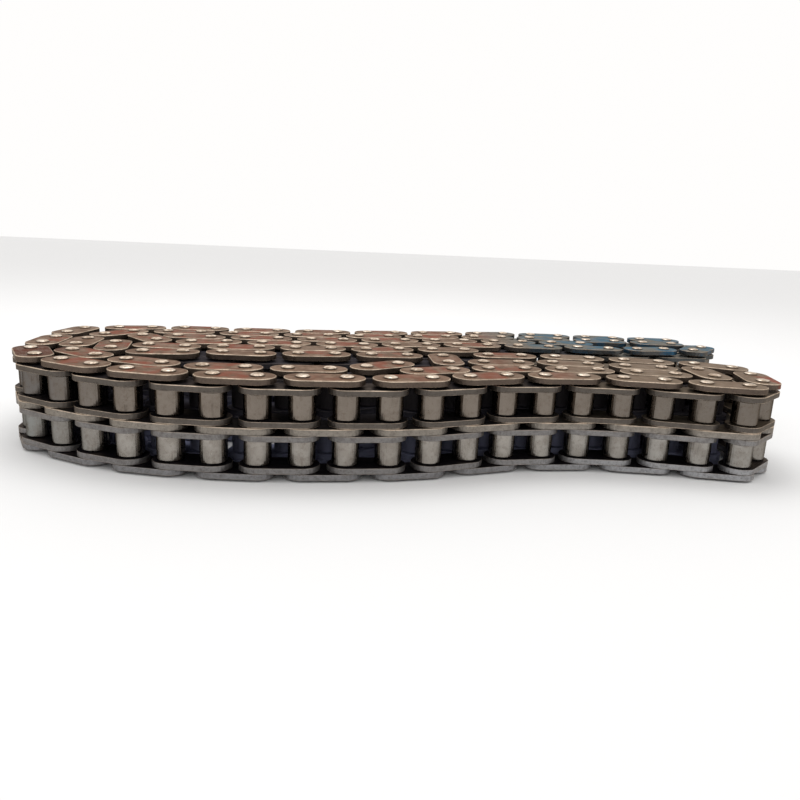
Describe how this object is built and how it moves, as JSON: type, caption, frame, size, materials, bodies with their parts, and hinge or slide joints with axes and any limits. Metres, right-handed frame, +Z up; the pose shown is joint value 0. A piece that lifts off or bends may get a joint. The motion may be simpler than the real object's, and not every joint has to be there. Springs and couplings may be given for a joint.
{
  "type": "duplex roller chain",
  "caption": "Two-strand roller chain folded into a flat stack on its side, with a free end of hinged links and turning rollers.",
  "frame": {"origin": "middle of the footprint, on the surface that the lower pin ends rest on", "axes": "+X along the rows of the stack towards the free end, +Y from the front row to the back row, +Z up along the pins"},
  "size_m": [0.4166, 0.1814, 0.0463],
  "materials": {
    "outer_plate_steel": "oiled brown-grey heat-treated steel with reddish smears",
    "inner_plate_steel": "oiled grey steel",
    "middle_plate_steel": "oiled grey steel",
    "roller_steel": "satin warm grey steel",
    "bush_steel": "dark oiled steel",
    "pin_steel": "bright turned rivet ends",
    "chain_run_steel": "oiled brown-grey steel"
  },
  "bodies": {
    "root": {"back_row_run": "chain_run_steel", "left_turn_run": "chain_run_steel", "front_row_run": "chain_run_steel", "right_turn_run": "chain_run_steel", "middle_row_run": "chain_run_steel", "left_fold_run": "chain_run_steel", "step_run": "chain_run_steel", "second_row_run": "chain_run_steel", "inner_left_turn_run": "chain_run_steel", "inner_back_row_run": "chain_run_steel", "right_fold_run": "chain_run_steel", "nested_end_run": "chain_run_steel"},
    "link_5": {"link_5_upper_top_inner_plate": "inner_plate_steel", "link_5_upper_bottom_inner_plate": "inner_plate_steel", "link_5_upper_bush_a": "bush_steel", "link_5_upper_bush_b": "bush_steel", "link_5_lower_top_inner_plate": "inner_plate_steel", "link_5_lower_bottom_inner_plate": "inner_plate_steel", "link_5_lower_bush_a": "bush_steel", "link_5_lower_bush_b": "bush_steel"},
    "link_4": {"link_4_top_outer_plate": "outer_plate_steel", "link_4_bottom_outer_plate": "outer_plate_steel", "link_4_middle_plate": "middle_plate_steel", "link_4_pin_a": "pin_steel", "link_4_pin_b": "pin_steel"},
    "link_3": {"link_3_upper_top_inner_plate": "inner_plate_steel", "link_3_upper_bottom_inner_plate": "inner_plate_steel", "link_3_upper_bush_a": "bush_steel", "link_3_upper_bush_b": "bush_steel", "link_3_lower_top_inner_plate": "inner_plate_steel", "link_3_lower_bottom_inner_plate": "inner_plate_steel", "link_3_lower_bush_a": "bush_steel", "link_3_lower_bush_b": "bush_steel"},
    "link_2": {"link_2_top_outer_plate": "outer_plate_steel", "link_2_bottom_outer_plate": "outer_plate_steel", "link_2_middle_plate": "middle_plate_steel", "link_2_pin_a": "pin_steel", "link_2_pin_b": "pin_steel"},
    "link_1": {"link_1_upper_top_inner_plate": "inner_plate_steel", "link_1_upper_bottom_inner_plate": "inner_plate_steel", "link_1_upper_bush_a": "bush_steel", "link_1_upper_bush_b": "bush_steel", "link_1_lower_top_inner_plate": "inner_plate_steel", "link_1_lower_bottom_inner_plate": "inner_plate_steel", "link_1_lower_bush_a": "bush_steel", "link_1_lower_bush_b": "bush_steel"},
    "roller_5_upper_a": {"link_5_upper_roller_a": "roller_steel"},
    "roller_5_upper_b": {"link_5_upper_roller_b": "roller_steel"},
    "roller_5_lower_a": {"link_5_lower_roller_a": "roller_steel"},
    "roller_5_lower_b": {"link_5_lower_roller_b": "roller_steel"},
    "roller_3_upper_a": {"link_3_upper_roller_a": "roller_steel"},
    "roller_3_upper_b": {"link_3_upper_roller_b": "roller_steel"},
    "roller_3_lower_a": {"link_3_lower_roller_a": "roller_steel"},
    "roller_3_lower_b": {"link_3_lower_roller_b": "roller_steel"},
    "roller_1_upper_a": {"link_1_upper_roller_a": "roller_steel"},
    "roller_1_upper_b": {"link_1_upper_roller_b": "roller_steel"},
    "roller_1_lower_a": {"link_1_lower_roller_a": "roller_steel"},
    "roller_1_lower_b": {"link_1_lower_roller_b": "roller_steel"}
  },
  "joints": [
    {"name": "hinge_5", "type": "hinge", "parent": "root", "child": "link_5", "pos_m": [0.10553, 0.07858, 0.02315], "axis": [0, 0, 1], "range_deg": [0, 45]},
    {"name": "hinge_4", "type": "hinge", "parent": "link_5", "child": "link_4", "pos_m": [0.12447, 0.07659, 0.02315], "axis": [0, 0, 1], "range_deg": [0, 45]},
    {"name": "hinge_3", "type": "hinge", "parent": "link_4", "child": "link_3", "pos_m": [0.14342, 0.0746, 0.02315], "axis": [0, 0, 1], "range_deg": [0, 45]},
    {"name": "hinge_2", "type": "hinge", "parent": "link_3", "child": "link_2", "pos_m": [0.16237, 0.07261, 0.02315], "axis": [0, 0, 1], "range_deg": [0, 45]},
    {"name": "hinge_1", "type": "hinge", "parent": "link_2", "child": "link_1", "pos_m": [0.18131, 0.07062, 0.02315], "axis": [0, 0, 1], "range_deg": [0, 45]},
    {"name": "roller_5_upper_a_spin", "type": "hinge", "parent": "link_5", "child": "roller_5_upper_a", "pos_m": [0.12447, 0.07659, 0.03275], "axis": [0, 0, 1], "continuous": true},
    {"name": "roller_5_upper_b_spin", "type": "hinge", "parent": "link_5", "child": "roller_5_upper_b", "pos_m": [0.10553, 0.07858, 0.03275], "axis": [0, 0, 1], "continuous": true},
    {"name": "roller_5_lower_a_spin", "type": "hinge", "parent": "link_5", "child": "roller_5_lower_a", "pos_m": [0.12447, 0.07659, 0.01235], "axis": [0, 0, 1], "continuous": true},
    {"name": "roller_5_lower_b_spin", "type": "hinge", "parent": "link_5", "child": "roller_5_lower_b", "pos_m": [0.10553, 0.07858, 0.01235], "axis": [0, 0, 1], "continuous": true},
    {"name": "roller_3_upper_a_spin", "type": "hinge", "parent": "link_3", "child": "roller_3_upper_a", "pos_m": [0.16237, 0.07261, 0.03275], "axis": [0, 0, 1], "continuous": true},
    {"name": "roller_3_upper_b_spin", "type": "hinge", "parent": "link_3", "child": "roller_3_upper_b", "pos_m": [0.14342, 0.0746, 0.03275], "axis": [0, 0, 1], "continuous": true},
    {"name": "roller_3_lower_a_spin", "type": "hinge", "parent": "link_3", "child": "roller_3_lower_a", "pos_m": [0.16237, 0.07261, 0.01235], "axis": [0, 0, 1], "continuous": true},
    {"name": "roller_3_lower_b_spin", "type": "hinge", "parent": "link_3", "child": "roller_3_lower_b", "pos_m": [0.14342, 0.0746, 0.01235], "axis": [0, 0, 1], "continuous": true},
    {"name": "roller_1_upper_a_spin", "type": "hinge", "parent": "link_1", "child": "roller_1_upper_a", "pos_m": [0.20026, 0.06863, 0.03275], "axis": [0, 0, 1], "continuous": true},
    {"name": "roller_1_upper_b_spin", "type": "hinge", "parent": "link_1", "child": "roller_1_upper_b", "pos_m": [0.18131, 0.07062, 0.03275], "axis": [0, 0, 1], "continuous": true},
    {"name": "roller_1_lower_a_spin", "type": "hinge", "parent": "link_1", "child": "roller_1_lower_a", "pos_m": [0.20026, 0.06863, 0.01235], "axis": [0, 0, 1], "continuous": true},
    {"name": "roller_1_lower_b_spin", "type": "hinge", "parent": "link_1", "child": "roller_1_lower_b", "pos_m": [0.18131, 0.07062, 0.01235], "axis": [0, 0, 1], "continuous": true}
  ]
}
